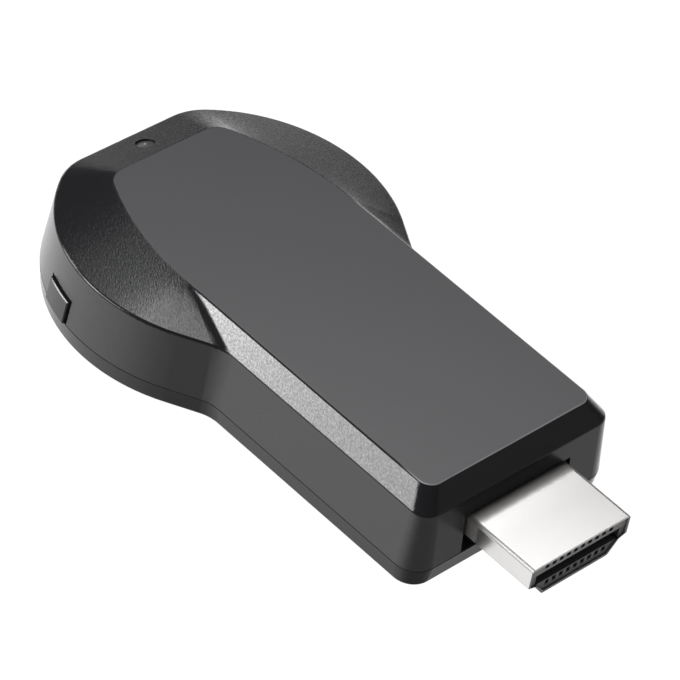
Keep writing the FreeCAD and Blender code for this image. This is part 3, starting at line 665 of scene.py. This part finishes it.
# Finish of each material slot. A grained one has its name, colour, roughness, share of metal, and the
# grain's width, depth and stretch.
FINISHES = {
    "housing_black": housing_finish("housing_black_plastic"),
    "button_black": housing_finish("button_black_plastic", BUTTON_GLOSS, CAP_TOP),
    "light_clear": light_finish("status_light_plastic"),
    "plug_nickel": plug_finish("satin_nickel"),
    "insulator_black": insulator_finish("insulator_plastic"),
    "contact_gold": grained_finish("gold_plating", (0.83, 0.6, 0.25), 0.22, 1, 0.1, 0.0008, (0.1, 1, 1)),
    "board_green": board_finish("green_board"),
    "package_black": grained_finish("chip_package", (0.018, 0.018, 0.02), 0.55, 0, 0.08, 0.003),
    "shield_tin": spangled_finish("tinned_sheet", (0.72, 0.72, 0.7)),
    "pad_grey": grained_finish("thermal_pad", (0.3, 0.32, 0.36), 0.8, 0, 0.3, 0.02),
    "spreader_aluminium": grained_finish(
        "rolled_aluminium", (0.75, 0.76, 0.77), 0.35, 1, 0.15, 0.001, (0.04, 1, 1)
    ),
    "ceramic_white": grained_finish("white_ceramic", (0.8, 0.79, 0.74), 0.5, 0, 0.1, 0.002),
    "ferrite_grey": grained_finish("moulded_ferrite", (0.09, 0.09, 0.1), 0.6, 0, 0.12, 0.008),
    "capacitor_yellow": grained_finish("tantalum_case", (0.75, 0.45, 0.06), 0.5, 0, 0.1, 0.003),
    "ceramic_tan": grained_finish("tan_ceramic", (0.45, 0.3, 0.17), 0.45, 0, 0.08, 0.002),
    "led_white": grained_finish("light_package", (0.85, 0.84, 0.75), 0.35, 0, 0.1, 0.001),
    "socket_steel": grained_finish("plated_steel", (0.7, 0.7, 0.69), 0.28, 1, 0.12, 0.001, (0.08, 1, 1)),
    "switch_plastic": grained_finish("switch_nylon", (0.04, 0.04, 0.04), 0.5, 0, 0.1, 0.003),
    "spring_steel": grained_finish("spring_strip", (0.6, 0.6, 0.6), 0.25, 1, 0.1, 0.001),
}


def dome(radius, bottom, height, shares):
    """Points on a low dome, at shares of its radius."""
    return [(share * radius, bottom + height * (1 - share ** 2)) for share in shares]


def make_status_window():
    """Smoky window in the shoulder's hole: a spun profile with a small nub in its middle, which its
    material paints pale as a glint. The window's upper side is tilted to the shoulder."""
    profile = [(0, WINDOW_CROWN + NUB_HEIGHT)]
    profile += dome(NUB_RADIUS, WINDOW_CROWN, NUB_HEIGHT, NUB_STEPS)
    profile += dome(WINDOW_RADIUS, 0, WINDOW_CROWN, WINDOW_STEPS)
    profile += [(WINDOW_RADIUS, WINDOW_UNDER)]
    profile += dome(WINDOW_RADIUS, WINDOW_UNDER, PIPE_DOME, reversed(WINDOW_STEPS[:-1]))
    profile += [(0, WINDOW_UNDER + PIPE_DOME)]
    shape = bmesh.new()
    points = [shape.verts.new((radius, 0, height)) for radius, height in profile]
    strip = [shape.edges.new(pair) for pair in zip(points, points[1:])]
    bmesh.ops.spin(
        shape, geom=points + strip, cent=(0, 0, 0), axis=(0, 0, 1), dvec=(0, 0, 0),
        angle=2 * math.pi, steps=WINDOW_SIDES, use_merge=True, use_duplicate=False,
    )
    bmesh.ops.remove_doubles(shape, verts=shape.verts, dist=WINDOW_WELD)
    lid = [vertex for vertex in shape.verts if vertex.co.z > WINDOW_LID]
    tilt = Matrix.Identity(4)
    tilt[2][0] = WINDOW_TILT
    bmesh.ops.transform(shape, matrix=tilt, verts=lid)
    place = Matrix.Scale(MM, 4) @ Matrix.Translation((WINDOW_X, 0, WINDOW_HEIGHT))
    bmesh.ops.transform(shape, matrix=place, verts=shape.verts)
    bmesh.ops.recalc_face_normals(shape, faces=shape.faces)
    for face in shape.faces:
        face.smooth = True
    mesh = bpy.data.meshes.new("status_window")
    shape.to_mesh(mesh)
    shape.free()
    mesh.materials.append(FINISHES["light_clear"])
    window = bpy.data.objects.new("status_window", mesh)
    bpy.context.scene.collection.objects.link(window)
    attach(window, "dongle")


def dress_nodes():
    """Gives each CAD node the finish of its material slot."""
    for part in frame["record"]["subparts"]:
        node = frame["nodes"][part["node"]]
        for slot in node.material_slots:
            slot.material = FINISHES[part["material_slot"]]


make_camera()
make_floor()
make_world()
for softbox in SOFTBOXES:
    make_softbox(*softbox)
make_status_window()
dress_nodes()
bpy.context.scene.view_settings.view_transform = "Standard"
